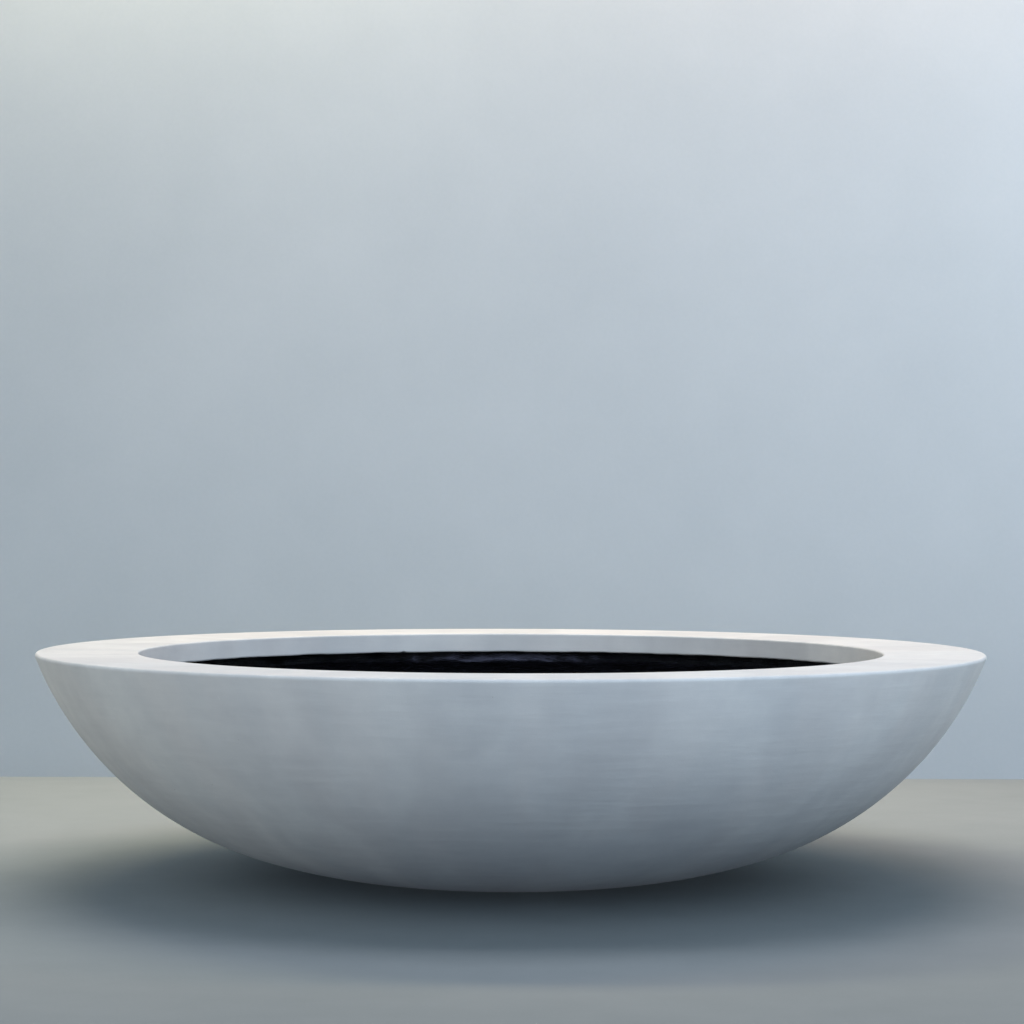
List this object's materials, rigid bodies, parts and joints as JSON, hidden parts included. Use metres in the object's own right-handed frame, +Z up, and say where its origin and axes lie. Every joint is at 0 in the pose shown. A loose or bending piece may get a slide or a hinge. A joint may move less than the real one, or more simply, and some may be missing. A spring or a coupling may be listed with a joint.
{
  "type": "bowl planter",
  "caption": "Low, very wide round bowl planter in pale grey cast concrete: broad flat rim, black-coated inside, rubber pads underneath and a floor drain with a lift-out plug.",
  "frame": {"origin": "on the bowl's axis, at the level that the foot pads stand on", "axes": "+Z up along the bowl's axis; the plug's pull tab is flat in the XZ plane; the picture looks along +Y"},
  "size_m": [1.4998, 1.4998, 0.354],
  "materials": {
    "concrete": "matte",
    "mortar": "matte",
    "black_coating": "gloss",
    "black_plastic": "satin",
    "steel": "satin",
    "rubber": "matte"
  },
  "bodies": {
    "planter": {"bowl_shell": "concrete", "rim_ring": "concrete", "rim_bond": "mortar", "rim_hoop": "steel", "waterproof_coating": "black_coating", "drain_body": "black_plastic", "drain_seal": "rubber", "drain_washer": "black_plastic", "drain_nut": "black_plastic", "drain_strainer": "steel", "foot_pad_1": "rubber", "foot_pad_2": "rubber", "foot_pad_3": "rubber", "foot_pad_4": "rubber"},
    "plug": {"drain_plug": "rubber"}
  },
  "joints": [
    {"name": "plug_lift", "type": "slide", "parent": "planter", "child": "plug", "axis": [0, 0, 1], "range_m": [0, 0.36]}
  ]
}
